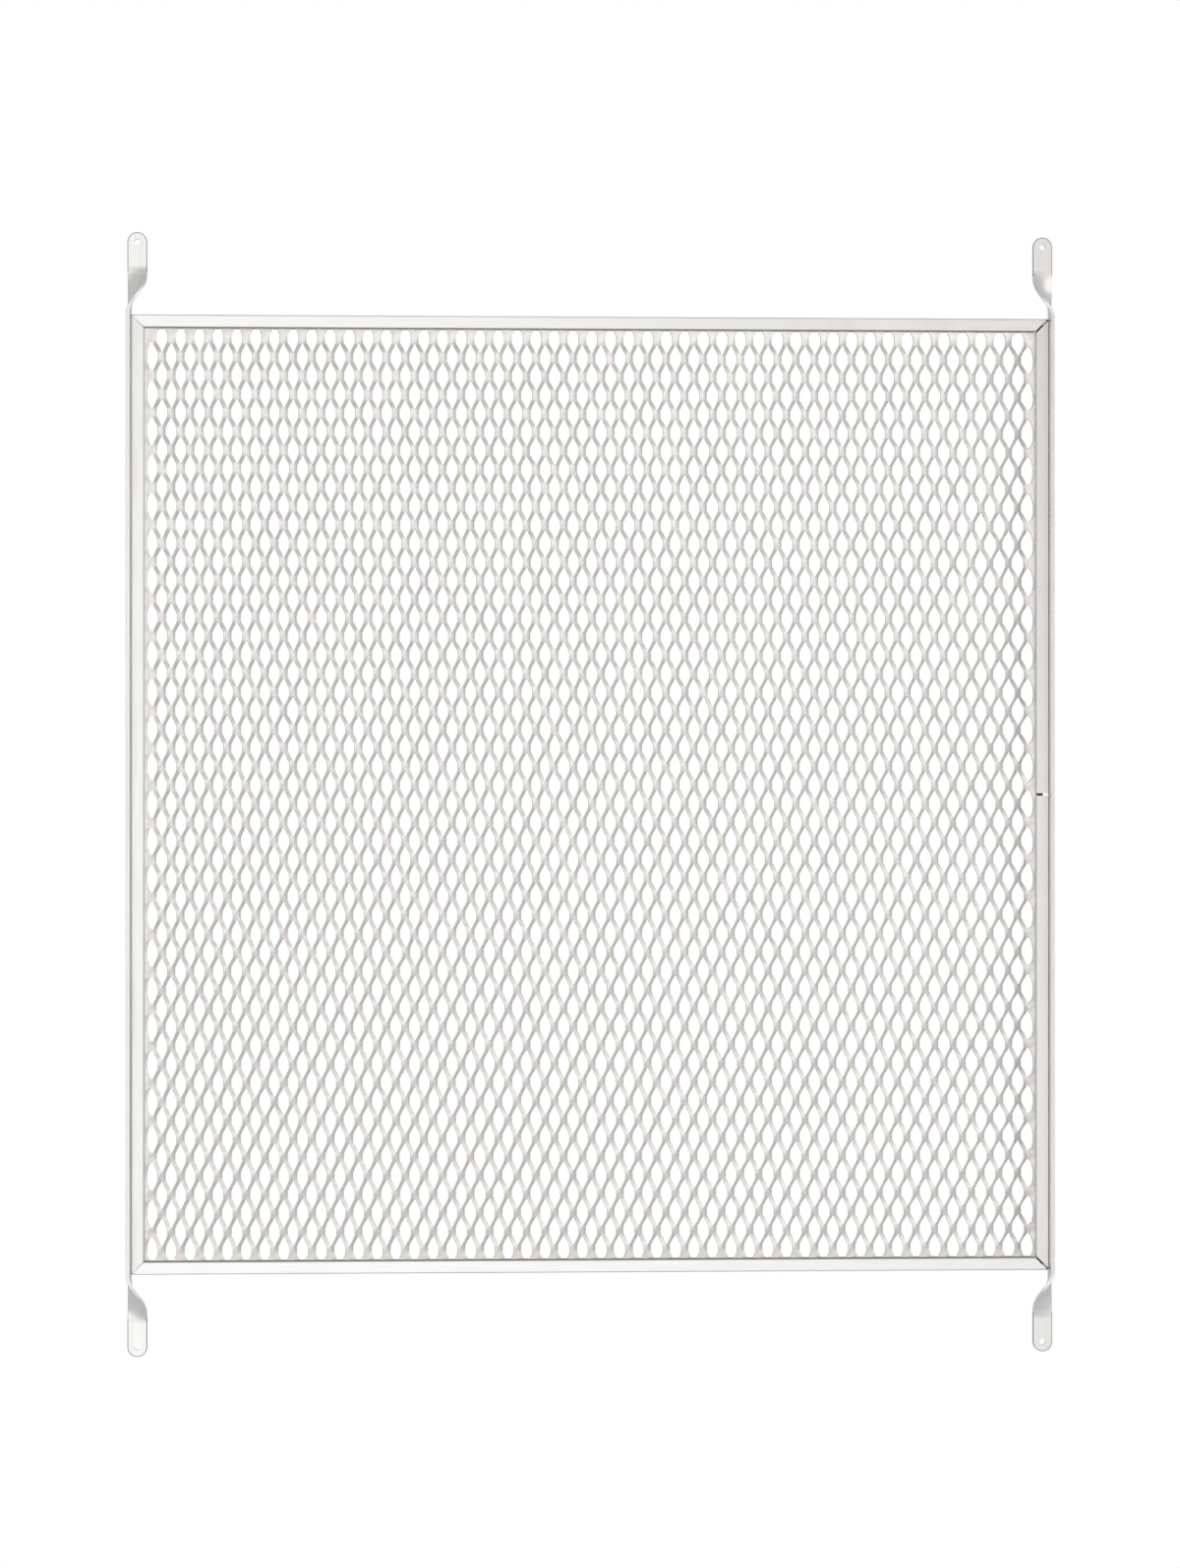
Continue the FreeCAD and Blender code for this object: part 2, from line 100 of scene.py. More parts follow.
# %% [markdown]
# A press never places two openings quite alike. Each point where two strands lean together gets a small
# push, drawn from a seeded generator so that the same mesh comes out every time, and the strands near three
# spots get a bigger one, as where a sheet has been knocked in handling.

# %% How far each bond strays
SEED = 7
USUAL_ACROSS = 0.13 * MM
USUAL_UP = 0.16 * MM
USUAL_TILT = math.radians(2.5)
KNOCKED_ACROSS = 0.75 * MM
chance = np.random.default_rng(SEED)
LINES = STRANDS + 1
stray_across = chance.normal(0, USUAL_ACROSS, (LINES, ROWS))
stray_up = chance.normal(0, USUAL_UP, (LINES, ROWS))
stray_tilt = chance.normal(0, USUAL_TILT, (LINES, ROWS))
line_across = (np.arange(LINES) - (LINES - 1) / 2) * BETWEEN_LINES
row_height = (np.arange(ROWS) - (ROWS - 1) / 2) * BETWEEN_ROWS
# Each knock: how far across, how far up, and how far it reaches
KNOCKS = ((-15 * MM, 38 * MM, 32 * MM), (208 * MM, 150 * MM, 26 * MM), (-150 * MM, -120 * MM, 24 * MM))
for knock_across, knock_up, reach in KNOCKS:
    away = np.hypot(line_across[:, None] - knock_across, row_height[None, :] - knock_up)
    stray_across += chance.normal(0, KNOCKED_ACROSS, (LINES, ROWS)) * np.exp(-(away / reach) ** 2)
stray_across[0] = stray_across[-1] = 0
stray_up[0] = stray_up[-1] = 0
print("largest stray", round(float(abs(stray_across).max() / MM), 2), "mm")

# %% [markdown]
# The function below gives the two long edges of one strand. At each row the strand is joined to one
# neighbour along a bond, and its other edge is free, facing an opening. The joined edge stays on the line
# between the two strands. The free edge lies one strand width away, turned by the tilt: to the back on the
# right of the line, to the front on the left. The first and last strand stay joined to the plain margin.


# %% The edges of one strand
def tilt_at(line, row):
    """How far the strands are turned where they meet at this line and row."""
    return STRAND_TILT + stray_tilt[line, row]


def bond_point(line, row, height):
    """A point on the line where two strands are joined."""
    return (line_across[line] + stray_across[line, row], 0.0, height + stray_up[line, row])


def edges_at(strand, row, height):
    """The strand's left and right edge points at a bond, and the tilt of its face there."""
    leans_left = (strand + row) % 2 == 0
    line = strand if leans_left else strand + 1
    tilt = tilt_at(line, row) + (BOND_BEND if leans_left else -BOND_BEND)
    across = STRAND_WIDTH * math.cos(tilt)
    back = STRAND_WIDTH * math.sin(tilt)
    x, y, z = bond_point(line, row, height)
    left = (x, y, z) if leans_left else (x - across, -back, z)
    right = (x + across, back, z) if leans_left else (x, y, z)
    if strand == 0:
        left = (line_across[0], 0.0, height)
    if strand == STRANDS - 1:
        right = (line_across[-1], 0.0, height)
    return left, right, tilt


def margin_edges(strand, side, height):
    """Past the last row the strands close up into the plain margin, which is flat."""
    left = (line_across[strand], 0.0, side * height)
    right = (line_across[strand + 1], 0.0, side * height)
    return left, right, 0.0


def leg_edges(strand, first, second, share):
    """A section part of the way along a leg, between the bonds at its two ends.

    Legs leave the bonds upright, so the way across is eased. The press turns a leg that climbs to the
    right further out of the sheet, and a leg that climbs to the left back towards it.
    """
    eased = share + EASING * (share * share * (3 - 2 * share) - share)
    start_across, end_across = ((edges[0][0] + edges[1][0]) / 2 for edges in (first, second))
    start_back, end_back = ((edges[0][1] + edges[1][1]) / 2 for edges in (first, second))
    across = start_across + (end_across - start_across) * eased
    back = start_back + (end_back - start_back) * eased
    height = first[0][2] + (second[0][2] - first[0][2]) * share
    climb = 1 if end_across > start_across else -1
    tilt = first[2] + (second[2] - first[2]) * eased + climb * LEG_TWIST * math.sin(math.pi * share)
    reach_across = STRAND_WIDTH / 2 * math.cos(tilt)
    reach_back = STRAND_WIDTH / 2 * math.sin(tilt)
    left = (across - reach_across, back - reach_back, height)
    right = (across + reach_across, back + reach_back, height)
    if strand == 0:
        left = (line_across[0], 0.0, height)
    if strand == STRANDS - 1:
        right = (line_across[-1], 0.0, height)
    return left, right, tilt


# %% [markdown]
# Each strand is a chain of four-cornered sections. Where two strands touch they share corners, so the whole
# mesh is one closed skin, with no double walls inside the bonds.

# %% Build the strands
half_bond = BOND_HEIGHT / 2
apex_height = row_height[-1] + OPENING_HEIGHT / 2
edge_height = panel_high.z


def strand_sections(strand):
    """The sections from bottom to top: (left, right, tilt, which line is joined).

    The joined line is "both" in the margins, a line's number at a bond, and None along a leg.
    """
    sections = [margin_edges(strand, -1, edge_height) + ("both",)]
    sections.append(margin_edges(strand, -1, apex_height) + ("both",))
    for row in range(ROWS):
        joined = strand if (strand + row) % 2 == 0 else strand + 1
        lower = edges_at(strand, row, row_height[row] - half_bond)
        upper = edges_at(strand, row, row_height[row] + half_bond)
        sections.append(lower + (joined,))
        sections.append(upper + (joined,))
        if row < ROWS - 1:
            following = edges_at(strand, row + 1, row_height[row + 1] - half_bond)
            for step in range(1, LEG_STEPS):
                sections.append(leg_edges(strand, upper, following, step / LEG_STEPS) + (None,))
    sections.append(margin_edges(strand, 1, apex_height) + ("both",))
    sections.append(margin_edges(strand, 1, edge_height) + ("both",))
    return sections


points = []
shared = {}


def corner_pair(point, tilt, key):
    """The front and back corner at one edge point. A key that was used before gives the same corners."""
    if key in shared:
        return shared[key]
    half = STRAND_THICKNESS / 2
    offset = (half * math.sin(tilt), -half * math.cos(tilt))
    first = len(points)
    points.append((point[0] + offset[0], point[1] + offset[1], point[2]))
    points.append((point[0] - offset[0], point[1] - offset[1], point[2]))
    if key is not None:
        shared[key] = (first, first + 1)
    return first, first + 1


faces = []
for strand in range(STRANDS):
    ring_before = None
    for index, (left, right, tilt, joined) in enumerate(strand_sections(strand)):
        fixed_left = joined in ("both", strand) or strand == 0
        fixed_right = joined in ("both", strand + 1) or strand == STRANDS - 1
        left_tilt = 0.0 if strand == 0 else tilt
        right_tilt = 0.0 if strand == STRANDS - 1 else tilt
        if joined == strand and strand > 0:
            left_tilt = tilt - BOND_BEND
        left_pair = corner_pair(left, left_tilt, (strand, index) if fixed_left else None)
        right_pair = corner_pair(right, right_tilt, (strand + 1, index) if fixed_right else None)
        ring = (left_pair, right_pair, fixed_left, fixed_right)
        if ring_before is not None:
            (lf0, lb0), (rf0, rb0), left_before, right_before = ring_before
            (lf1, lb1), (rf1, rb1) = left_pair, right_pair
            faces.append((lf0, rf0, rf1, lf1))
            faces.append((rb0, lb0, lb1, rb1))
            if not (left_before and fixed_left):
                faces.append((lb0, lf0, lf1, lb1))
            if not (right_before and fixed_right):
                faces.append((rf0, rb0, rb1, rf1))
        else:
            faces.append((left_pair[0], left_pair[1], right_pair[1], right_pair[0]))
        ring_before = ring
    faces.append((ring_before[0][0], ring_before[1][0], ring_before[1][1], ring_before[0][1]))
sections_per_strand = index + 1
print("strands:", STRANDS, "sections each:", sections_per_strand, "faces:", len(faces))

# %% [markdown]
# The plain margins on the left and right are what the press didn't slit. They start at the outer edges of
# the first and last strand, whose corners they share, and end inside the channel.

# %% Build the plain margins
half_thickness = STRAND_THICKNESS / 2
for line, outer_edge in ((0, panel_low.x), (LINES - 1, panel_high.x)):
    column = []
    for index in range(sections_per_strand):
        front, back = shared[(line, index)]
        height = points[front][2]
        outer = len(points)
        points.append((outer_edge, -half_thickness, height))
        points.append((outer_edge, half_thickness, height))
        column.append((front, back, outer, outer + 1))
    for lower, upper in zip(column, column[1:]):
        front0, back0, outfront0, outback0 = lower
        front1, back1, outfront1, outback1 = upper
        strip = [(outfront0, front0, front1, outfront1), (back0, outback0, outback1, back1)]
        strip.append((outback0, outfront0, outfront1, outback1))
        faces.extend(strip if line == 0 else [tuple(reversed(face)) for face in strip])
    for end, turn in ((column[0], 1), (column[-1], -1)):
        cap = (end[0], end[2], end[3], end[1])
        faces.append(cap if (turn == 1) == (line == 0) else tuple(reversed(cap)))

panel_middle = (panel_low.y + panel_high.y) / 2
mesh_data = bpy.data.meshes.new("raised_mesh")
mesh_data.from_pydata([(x, y + panel_middle, z) for x, y, z in points], [], faces)
mesh_data.validate()
mesh_data.shade_smooth()
mesh_data.set_sharp_from_angle(angle=SHARP_EDGE)
raised_mesh = bpy.data.objects.new("raised_mesh", mesh_data)
bpy.context.scene.collection.objects.link(raised_mesh)
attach(raised_mesh, "root")
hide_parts("mesh_panel")
print("raised mesh:", len(mesh_data.vertices), "corners,", len(mesh_data.polygons), "faces")

# %% [markdown]
# ## Metal finishes
# Everything here is bare metal, and what tells the metals apart is how they were made. The channel was rolled
# from strip and the bars were extruded, so their marks run lengthwise. The mesh was cold-worked by the press,
# so it is duller and cloudier. Each finish is a metallic surface whose roughness, colour and fine relief come
# from noise textures at the scale of the real marks. Image textures would need unwrapping and a photo of
# metal; noise in the object's own millimetres needs neither and never repeats.


# %% Helpers for finishes
channel_low, channel_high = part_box("edge_channel")
CHANNEL_FACE = 11.0 * MM
NOISE_LOW = 0.3
NOISE_HIGH = 0.7
# A mix node keeps its colour sockets behind the ones for numbers and vectors
COLOUR_A = 6
COLOUR_B = 7
COLOUR_RESULT = 2


def new_finish(name):
    """A metallic material, with its node tree and its shader."""
    finish = bpy.data.materials.new(name)
    finish.use_nodes = True
    shader = finish.node_tree.nodes["Principled BSDF"]
    shader.inputs["Metallic"].default_value = 1.0
    return finish, finish.node_tree, shader


def object_place(tree, stretch):
    """The place on the object, squeezed along an axis where the marks are long."""
    place = tree.nodes.new("ShaderNodeTexCoord")
    scale = tree.nodes.new("ShaderNodeMapping")
    scale.inputs["Scale"].default_value = stretch
    tree.links.new(place.outputs["Object"], scale.inputs["Vector"])
    return scale.outputs["Vector"]


def noise(tree, vector, scale, detail=4.0, roughness=0.55):
    """A cloudy value from 0 to 1. The larger the scale, the finer the clouds."""
    cloud = tree.nodes.new("ShaderNodeTexNoise")
    cloud.inputs["Scale"].default_value = scale
    cloud.inputs["Detail"].default_value = detail
    cloud.inputs["Roughness"].default_value = roughness
    tree.links.new(vector, cloud.inputs["Vector"])
    return cloud.outputs["Fac"]


def spread(tree, value, low, high, start=NOISE_LOW, end=NOISE_HIGH):
    """Goes from low to high as the value goes from start to end, and stays level outside them."""
    ranged = tree.nodes.new("ShaderNodeMapRange")
    ranged.inputs["From Min"].default_value = start
    ranged.inputs["From Max"].default_value = end
    ranged.inputs["To Min"].default_value = low
    ranged.inputs["To Max"].default_value = high
    tree.links.new(value, ranged.inputs["Value"])
    return ranged.outputs["Result"]


def colours_between(tree, value, first, second):
    """A colour that goes from the first to the second across the middle of a noise value."""
    ramp = tree.nodes.new("ShaderNodeValToRGB")
    ramp.color_ramp.elements[0].position = NOISE_LOW
    ramp.color_ramp.elements[0].color = (*first, 1.0)
    ramp.color_ramp.elements[1].position = NOISE_HIGH
    ramp.color_ramp.elements[1].color = (*second, 1.0)
    tree.links.new(value, ramp.inputs["Fac"])
    return ramp.outputs["Color"]


def choose(tree, where, first, second):
    """The first value where the mask is 0 and the second where it is 1."""
    mix = tree.nodes.new("ShaderNodeMix")
    tree.links.new(where, mix.inputs["Factor"])
    tree.links.new(first, mix.inputs["A"])
    tree.links.new(second, mix.inputs["B"])
    return mix.outputs["Result"]


def sum_of(tree, operation, first, second=None):
    """One step of arithmetic. The second value may be a plain number."""
    step = tree.nodes.new("ShaderNodeMath")
    step.operation = operation
    tree.links.new(first, step.inputs[0])
    if isinstance(second, (int, float)):
        step.inputs[1].default_value = second
    elif second is not None:
        tree.links.new(second, step.inputs[1])
    return step.outputs["Value"]


def choose_colour(tree, where, first, second):
    """The first colour where the mask is 0 and the second where it is 1."""
    mix = tree.nodes.new("ShaderNodeMix")
    mix.data_type = "RGBA"
    tree.links.new(where, mix.inputs["Factor"])
    tree.links.new(first, mix.inputs[COLOUR_A])
    tree.links.new(second, mix.inputs[COLOUR_B])
    return mix.outputs[COLOUR_RESULT]


def distances(tree):
    """How far a point is from the middle sideways, its depth, and how far it is up or down."""
    where = tree.nodes.new("ShaderNodeTexCoord")
    split = tree.nodes.new("ShaderNodeSeparateXYZ")
    tree.links.new(where.outputs["Object"], split.inputs["Vector"])
    sideways = sum_of(tree, "ABSOLUTE", split.outputs["X"])
    up = sum_of(tree, "ABSOLUTE", split.outputs["Z"])
    return sideways, split.outputs["Y"], up


def reach_from_rim(tree):
    """How far a point is past the channel's sides, its depth, and how far it is past top and bottom."""
    sideways, depth, up = distances(tree)
    past_side = sum_of(tree, "SUBTRACT", sideways, channel_high.x)
    past_top = sum_of(tree, "SUBTRACT", up, channel_high.z)
    return past_side, depth, past_top


def relief(tree, shader, height, depth):
    """Fine relief, as deep as given where the height goes from 0 to 1."""
    bump = tree.nodes.new("ShaderNodeBump")
    bump.inputs["Strength"].default_value = 1.0
    bump.inputs["Distance"].default_value = depth
    tree.links.new(height, bump.inputs["Height"])
    tree.links.new(bump.outputs["Normal"], shader.inputs["Normal"])


def put_on(node, finish):
    """Gives one of the frame's nodes its finish."""
    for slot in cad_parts[node].material_slots:
        slot.material = finish


# %% [markdown]
# The mesh is cold-worked aluminium, so it has no grain direction. Cloudy patches a few millimetres wide run
# over it where the sheet's skin was stretched more or less, and a much finer grain lies over them. Its edge
# is hidden in the channel, and there it is painted near black from the lips inwards as painted shade for the
# channel's dark inside, which keeps the mitres' slots dark.

# %% The mesh's finish
IN_CHANNEL_SHADE_FADE = 1.5 * MM
pressed_aluminium, tree, shader = new_finish("pressed_aluminium")
place = object_place(tree, (1, 1, 1))
patches = noise(tree, place, 260)
warm_skin = colours_between(tree, patches, (0.81, 0.785, 0.775), (0.90, 0.875, 0.865))
cool_skin = colours_between(tree, patches, (0.785, 0.805, 0.765), (0.875, 0.895, 0.855))
tint = spread(tree, noise(tree, place, 38, 2.0), 0.0, 1.0, 0.4, 0.6)
pressed_skin = choose_colour(tree, tint, warm_skin, cool_skin)
past_side, _, past_top = reach_from_rim(tree)
past_lips = sum_of(tree, "ADD", sum_of(tree, "MAXIMUM", past_side, past_top), CHANNEL_FACE)
# Painted shade: past the channel's lips the mesh turns near black.
in_channel_shade = spread(tree, past_lips, 0.0, 1.0, 0.0, IN_CHANNEL_SHADE_FADE)
mesh_shade_colour = colours_between(tree, patches, (0.05, 0.05, 0.048), (0.09, 0.088, 0.084))
tree.links.new(choose_colour(tree, in_channel_shade, pressed_skin, mesh_shade_colour), shader.inputs["Base Color"])
tree.links.new(spread(tree, noise(tree, place, 900), 0.34, 0.5), shader.inputs["Roughness"])
relief(tree, shader, noise(tree, place, 2400, 2.0), 0.03 * MM)
mesh_data.materials.append(pressed_aluminium)
print("mesh finish:", len(tree.nodes), "nodes")

# %% [markdown]
# The channel is one long strip that turns a corner four times. Its rolling marks follow the strip, across at
# the top and bottom and upright at the sides, and change direction at each mitre. The mitres run at 45
# degrees from the corners, so comparing how far a point is from the side with how far it is from the top
# tells which leg it is on.

# %% The channel's finish
rolled_aluminium, tree, shader = new_finish("rolled_aluminium")
side_reach, depth, top_reach = reach_from_rim(tree)
on_side = sum_of(tree, "GREATER_THAN", sum_of(tree, "SUBTRACT", side_reach, top_reach), 0.0)
marks_across = noise(tree, object_place(tree, (0.02, 1, 1)), 1500)
marks_up = noise(tree, object_place(tree, (1, 1, 0.02)), 1500)
rolling_marks = choose(tree, on_side, marks_across, marks_up)
smudges = noise(tree, object_place(tree, (1, 1, 1)), 28, 5.0)
clean_metal = colours_between(tree, smudges, (0.87, 0.87, 0.86), (0.915, 0.915, 0.91))
# Painted shade: the near-black colour for the channel's inside and for the lines along its lips and folds.
channel_shade_colour = colours_between(tree, smudges, (0.05, 0.05, 0.048), (0.09, 0.088, 0.084))

# %% [markdown]
# The inside of the channel is painted almost black as painted shade, so the slots at the mitres,
# at the joint and along the lips look almost black. Inside means deeper than the front leg, ahead of the back
# leg's outer face, within the web and past the lip. The same painted shade reaches out over the lips and into
# the outer folds, where both are drawn as thin grey lines. The line along the lips is darkest at the top and
# bottom legs. The side legs' metal is painted a shade greyer, as painted shade for the light falling off
# them.

# %% The channel's inside
WALL = 1.0 * MM
SKIN = 0.15 * MM
LIP_RADIUS = 1.6 * MM
LIP_SHADE_START = 0.3 * MM
LIP_SHADE_WIDTH = 1.9 * MM
LEVEL_LIP_SHADE = 0.85
SIDE_LIP_SHADE = 0.3
LIP_SHADE_BEHIND_FOLD = 0.25
FOLD_SHADE_WIDTH = 0.9 * MM
FOLD_SHADE = 0.3
# Painted shade: these masks find the channel's inside, which is painted near black.
behind_front_leg = sum_of(tree, "GREATER_THAN", depth, channel_low.y + WALL - SKIN)
before_back_face = sum_of(tree, "LESS_THAN", depth, channel_high.y - SKIN)
between_legs = sum_of(tree, "MULTIPLY", behind_front_leg, before_back_face)
from_rim = sum_of(tree, "MAXIMUM", side_reach, top_reach)
from_lip = sum_of(tree, "ADD", from_rim, CHANNEL_FACE)
within_web = sum_of(tree, "LESS_THAN", from_rim, -SKIN)
past_lip = sum_of(tree, "GREATER_THAN", from_lip, WALL / 2)
inside = sum_of(tree, "MULTIPLY", between_legs, sum_of(tree, "MULTIPLY", within_web, past_lip))
# Painted shade: the side legs are a shade greyer, for the light falling off them.
side_leg_shaded_metal = colours_between(tree, smudges, (0.80, 0.798, 0.785), (0.85, 0.848, 0.84))
outside_colour = choose_colour(tree, on_side, clean_metal, side_leg_shaded_metal)

# Painted shade: thin grey lines along the lips, darker at the top and bottom legs than at the sides.
level_lip_shade = spread(tree, from_lip, LEVEL_LIP_SHADE, 0.0, LIP_SHADE_START, LIP_SHADE_WIDTH)
side_lip_shade = spread(tree, from_lip, SIDE_LIP_SHADE, 0.0, LIP_SHADE_START, LIP_SHADE_WIDTH)
fold_start = channel_low.y + LIP_RADIUS / 2
fold_end = channel_low.y + LIP_RADIUS
on_fold = spread(tree, depth, 1.0, LIP_SHADE_BEHIND_FOLD, fold_start, fold_end)
lip_shade = sum_of(tree, "MULTIPLY", on_fold, choose(tree, on_side, level_lip_shade, side_lip_shade))
# Painted shade: a thin grey line in the channel's outer folds.
fold_shade = spread(tree, from_rim, 0.0, FOLD_SHADE, -FOLD_SHADE_WIDTH, 0.0)
# All of the channel's painted shade picks the near-black colour here.
channel_painted_shade = sum_of(tree, "MAXIMUM", inside, sum_of(tree, "MAXIMUM", lip_shade, fold_shade))
tree.links.new(choose_colour(tree, channel_painted_shade, outside_colour, channel_shade_colour), shader.inputs["Base Color"])

# %% The channel's gloss and relief
mark_gloss = spread(tree, rolling_marks, 0.27, 0.4)
channel_gloss = sum_of(tree, "ADD", mark_gloss, spread(tree, smudges, -0.03, 0.05))
tree.links.new(channel_gloss, shader.inputs["Roughness"])
relief(tree, shader, rolling_marks, 0.02 * MM)
put_on("edge_channel", rolled_aluminium)
print("channel finish:", len(tree.nodes), "nodes")

# %% [markdown]
# The bars were sawn from extruded flat bar. Die lines run their whole length, on the wide faces and on the
# narrow ones, and the tabs carry a few smudges where they were gripped to be twisted. The tabs' rounded rims
# are painted dark as painted shade, where they turn from the light, and between the tabs the bars are greyer.
# The rim is where a point lies nearly half a bar's width from the tab's middle line, or past the screw
# hole, from the hole.

# %% The bars' finish
RIM_WIDTH = 1.1 * MM
TWIST_RUN = 36 * MM
TWIST_END = channel_high.z + TWIST_RUN
extruded_aluminium, tree, shader = new_finish("extruded_aluminium")
die_lines = noise(tree, object_place(tree, (1, 1, 0.012)), 1100)
smudges = noise(tree, object_place(tree, (1, 1, 1)), 45, 5.0)
tab_metal = colours_between(tree, smudges, (0.83, 0.83, 0.815), (0.90, 0.90, 0.89))
# The bars are greyer between the tabs than on them.
bar_between_tabs = colours_between(tree, smudges, (0.745, 0.745, 0.735), (0.815, 0.815, 0.81))
# Painted shade: a dark colour for the tabs' rounded rims.
rim_painted_shade = colours_between(tree, smudges, (0.30, 0.30, 0.295), (0.46, 0.455, 0.445))

bar_low, bar_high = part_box("right_mounting_bar")
tab_reach = (bar_high.x - bar_low.x) / 2
sideways, _, up = distances(tree)
from_line = sum_of(tree, "SUBTRACT", sideways, bar_high.x - tab_reach)
past_hole = sum_of(tree, "MAXIMUM", sum_of(tree, "SUBTRACT", up, bar_high.z - tab_reach), 0.0)
squares = sum_of(tree, "ADD", sum_of(tree, "POWER", from_line, 2.0), sum_of(tree, "POWER", past_hole, 2.0))
from_middle = sum_of(tree, "SQRT", squares)
towards_tab = spread(tree, up, 0.0, 1.0, channel_high.z, TWIST_END)
bar_metal = choose_colour(tree, towards_tab, bar_between_tabs, tab_metal)
# Painted shade: the mask for the tabs' rims.
rim = spread(tree, from_middle, 0.0, 1.0, tab_reach - RIM_WIDTH, tab_reach - RIM_WIDTH / 2)
on_tab = spread(tree, up, 0.0, 1.0, TWIST_END - RIM_WIDTH, TWIST_END)
tab_rim_shade = sum_of(tree, "MULTIPLY", rim, on_tab)
tree.links.new(choose_colour(tree, tab_rim_shade, bar_metal, rim_painted_shade), shader.inputs["Base Color"])
line_gloss = spread(tree, die_lines, 0.25, 0.4)
bar_gloss = sum_of(tree, "ADD", line_gloss, spread(tree, smudges, -0.03, 0.07))
tree.links.new(bar_gloss, shader.inputs["Roughness"])
relief(tree, shader, die_lines, 0.03 * MM)
for bar in ("left_mounting_bar", "right_mounting_bar"):
    put_on(bar, extruded_aluminium)
print("bar finish:", len(tree.nodes), "nodes")

# %% [markdown]
# The rivets are soft aluminium, a little brighter where the tool pressed the head down. The stem that stays
# in each one is plain drawn steel, darker, with a rough break where it snapped off.

# %% The rivets' and stems' finishes
rivet_aluminium, tree, shader = new_finish("rivet_aluminium")
scuffs = noise(tree, object_place(tree, (1, 1, 1)), 700)
soft_metal = colours_between(tree, scuffs, (0.8, 0.8, 0.79), (0.88, 0.88, 0.87))
tree.links.new(soft_metal, shader.inputs["Base Color"])
tree.links.new(spread(tree, scuffs, 0.24, 0.42), shader.inputs["Roughness"])
relief(tree, shader, scuffs, 0.02 * MM)

drawn_steel, tree, shader = new_finish("drawn_steel")
grain = noise(tree, object_place(tree, (0.2, 1, 1)), 2600)
plain_steel = colours_between(tree, grain, (0.42, 0.41, 0.4), (0.56, 0.55, 0.53))
tree.links.new(plain_steel, shader.inputs["Base Color"])
tree.links.new(spread(tree, grain, 0.3, 0.5), shader.inputs["Roughness"])
relief(tree, shader, grain, 0.03 * MM)
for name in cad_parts:
    if "rivet_stem" in name:
        put_on(name, drawn_steel)
    elif "rivet" in name:
        put_on(name, rivet_aluminium)
print("rivets and stems:", sum("rivet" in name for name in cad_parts), "nodes")

# %% [markdown]
# ## The studio
# Bright metal shows what is around it more than it shows itself, so the lights are large pale panels. The
# biggest one is in front and to the left, where the flat faces look. A warmer one in front on the right
# tints the right side a little, and one up on the right is where the strands' faces look. All around them is
# an even grey, a little darker straight up and straight down, and whatever faces that instead of a panel
# comes out darker: the folds and the strands' narrow edges. The floor and the surroundings are plain white
# to the camera, and the floor lights nothing.

# %% Floor and surroundings
FLOOR_SIZE = 60.0
floor_data = bpy.data.meshes.new("floor")
half_floor = FLOOR_SIZE / 2
floor_height = cad_low.z
floor_corners = [(x, y, floor_height) for x, y in ((-1, -1), (1, -1), (1, 1), (-1, 1))]
floor_data.from_pydata([(x * half_floor, y * half_floor, z) for x, y, z in floor_corners], [], [(0, 1, 2, 3)])
floor = bpy.data.objects.new("floor", floor_data)
bpy.context.scene.collection.objects.link(floor)
pale_floor = bpy.data.materials.new("pale_floor")
pale_floor.use_nodes = True
floor_nodes = pale_floor.node_tree.nodes
floor_shader = floor_nodes["Principled BSDF"]
floor_shader.inputs["Base Color"].default_value = (0.0, 0.0, 0.0, 1.0)
floor_shader.inputs["Specular IOR Level"].default_value = 0.0
floor_shader.inputs["Emission Color"].default_value = (1.0, 1.0, 1.0, 1.0)
floor_shader.inputs["Emission Strength"].default_value = 1.0
floor_data.materials.append(pale_floor)
floor.visible_glossy = False
floor.visible_diffuse = False
floor.visible_shadow = False

LEVEL_LIGHT = 0.59
STEEP_LIGHT = 0.5
STEEP_START = 0.72
STEEP_END = 0.95
world = bpy.data.worlds.new("studio")
bpy.context.scene.world = world
world.use_nodes = True
tree = world.node_tree
backdrop = tree.nodes["Background"]
backdrop.inputs["Color"].default_value = (1.0, 1.0, 1.0, 1.0)
direction = tree.nodes.new("ShaderNodeTexCoord")
parts = tree.nodes.new("ShaderNodeSeparateXYZ")
tree.links.new(direction.outputs["Generated"], parts.inputs["Vector"])
steepness = sum_of(tree, "ABSOLUTE", parts.outputs["Z"])
around = spread(tree, steepness, LEVEL_LIGHT, STEEP_LIGHT, STEEP_START, STEEP_END)
seen_directly = tree.nodes.new("ShaderNodeLightPath")
white = tree.nodes.new("ShaderNodeValue")
white.outputs["Value"].default_value = 1.0
brightness = choose(tree, seen_directly.outputs["Is Camera Ray"], around, white.outputs["Value"])
tree.links.new(brightness, backdrop.inputs["Strength"])
bpy.context.scene.view_settings.view_transform = "Standard"
print("floor at", round(floor_height / MM, 1), "mm")


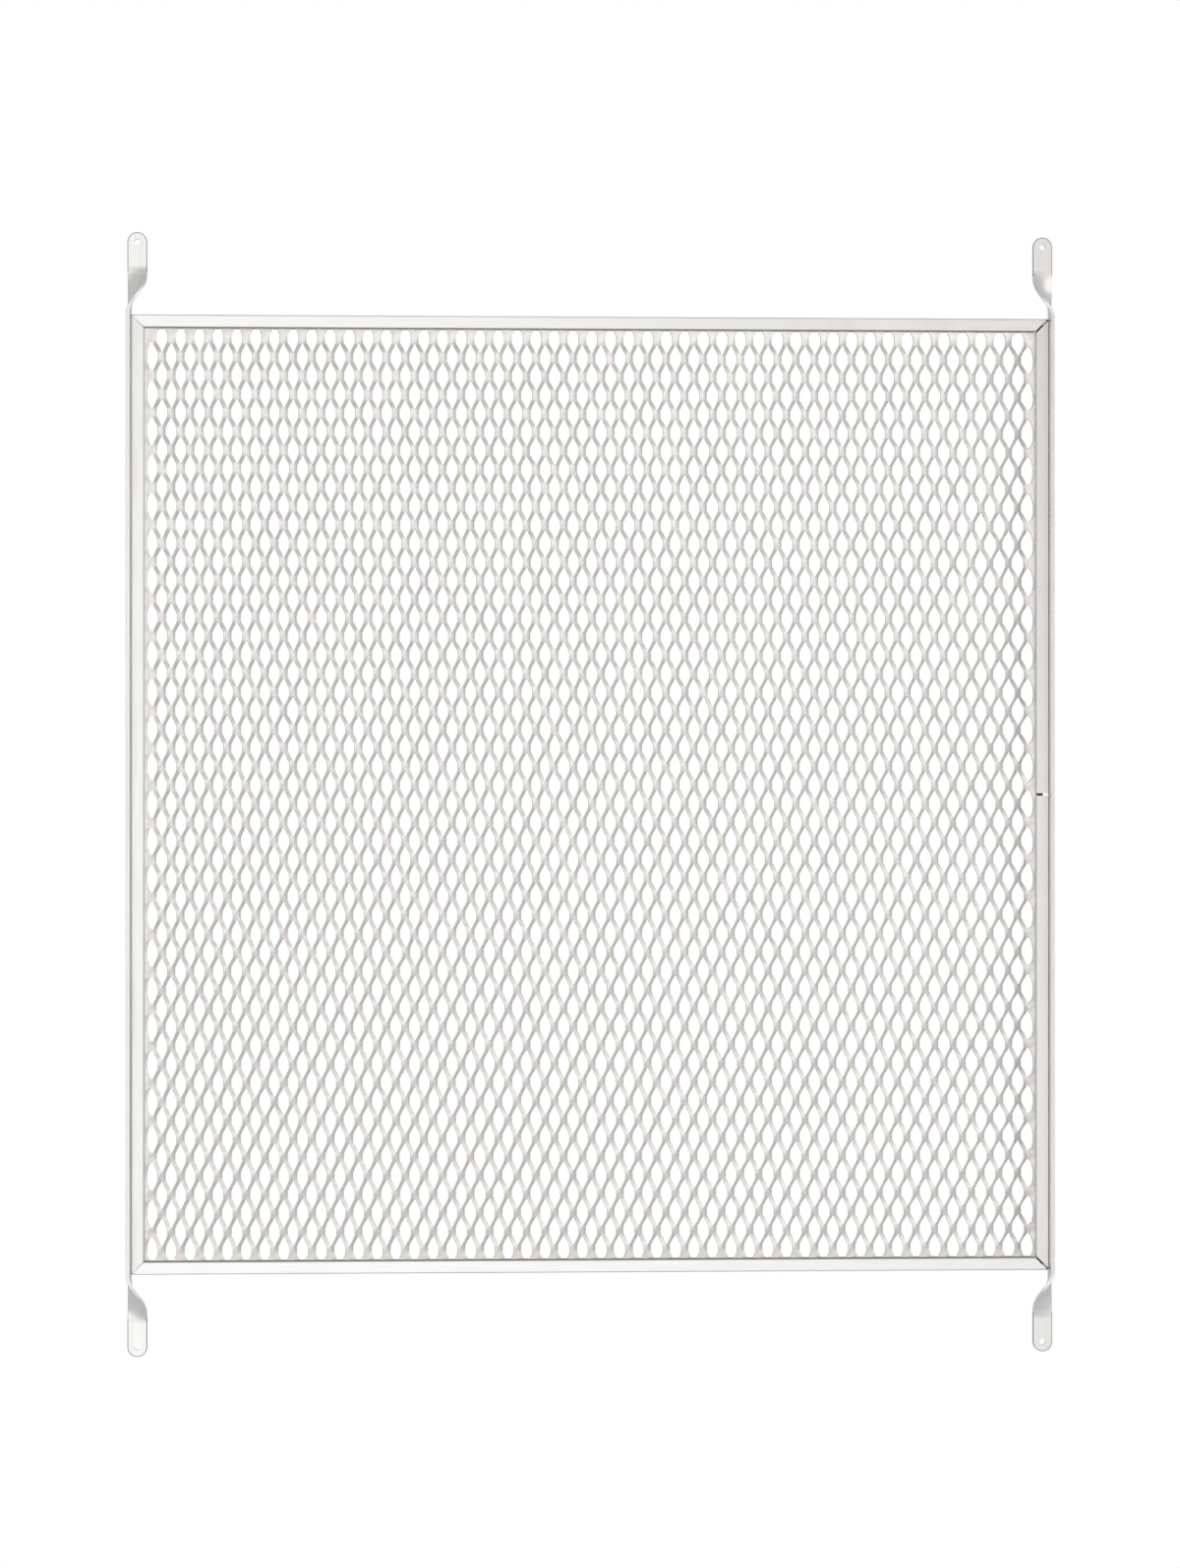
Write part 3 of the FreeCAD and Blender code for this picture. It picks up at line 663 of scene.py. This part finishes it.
# %% Light panels
def light_panel(name, place, aim, width, height, watts, colour=(1.0, 1.0, 1.0), roll=0.0):
    """A flat rectangular light at a place, facing the aim and rolled about its own axis."""
    data = bpy.data.lights.new(name, "AREA")
    data.shape = "RECTANGLE"
    data.size = width
    data.size_y = height
    data.energy = watts
    data.color = colour
    panel = bpy.data.objects.new(name, data)
    panel.location = place
    facing = (Vector(aim) - Vector(place)).to_track_quat("-Z", "Y")
    panel.rotation_mode = "QUATERNION"
    panel.rotation_quaternion = facing @ Quaternion((0.0, 0.0, 1.0), roll)
    bpy.context.scene.collection.objects.link(panel)
    print(name, width, "x", height, "m,", watts, "W")


WARM = (1.0, 0.76, 0.68)
FAINTLY_WARM = (1.0, 0.96, 0.94)
FRONT_ROLL = math.radians(24)
light_panel("front_panel", (-1.2, -3.6, -0.35), (-1.2, 0.0, -0.35), 3.9, 3.6, 26.5, roll=FRONT_ROLL)
light_panel("front_right_panel", (1.9, -3.3, 0.3), (0.2, 0.0, 0.0), 1.6, 3.0, 7.0, WARM)
light_panel("right_panel", (2.4, -1.2, 0.7), (0.0, 0.0, 0.0), 2.6, 2.6, 13.0, FAINTLY_WARM)

# %% [markdown]
# ## The camera
# The camera stands almost square to the grille, a little to the left of its middle, so the left bar looks
# slightly longer than the right one. It is far enough away for the long lens to show little perspective.

# %% Camera
CAMERA_DISTANCE = 2.6
CAMERA_TURN = math.radians(-2.0)
VIEW_HEIGHT = 1.2822
SENSOR = 36.0
AIM = Vector((-1.6 * MM, 0.0, 8.6 * MM))
camera_data = bpy.data.cameras.new("camera")
camera_data.sensor_width = SENSOR
camera_data.lens = SENSOR * CAMERA_DISTANCE / VIEW_HEIGHT
camera = bpy.data.objects.new("camera", camera_data)
camera.location = AIM + CAMERA_DISTANCE * Vector((math.sin(CAMERA_TURN), -math.cos(CAMERA_TURN), 0.0))
camera.rotation_euler = (math.radians(90), 0.0, CAMERA_TURN)
bpy.context.scene.collection.objects.link(camera)
bpy.context.scene.camera = camera
print("lens", round(camera_data.lens, 1), "mm at", CAMERA_DISTANCE, "m")
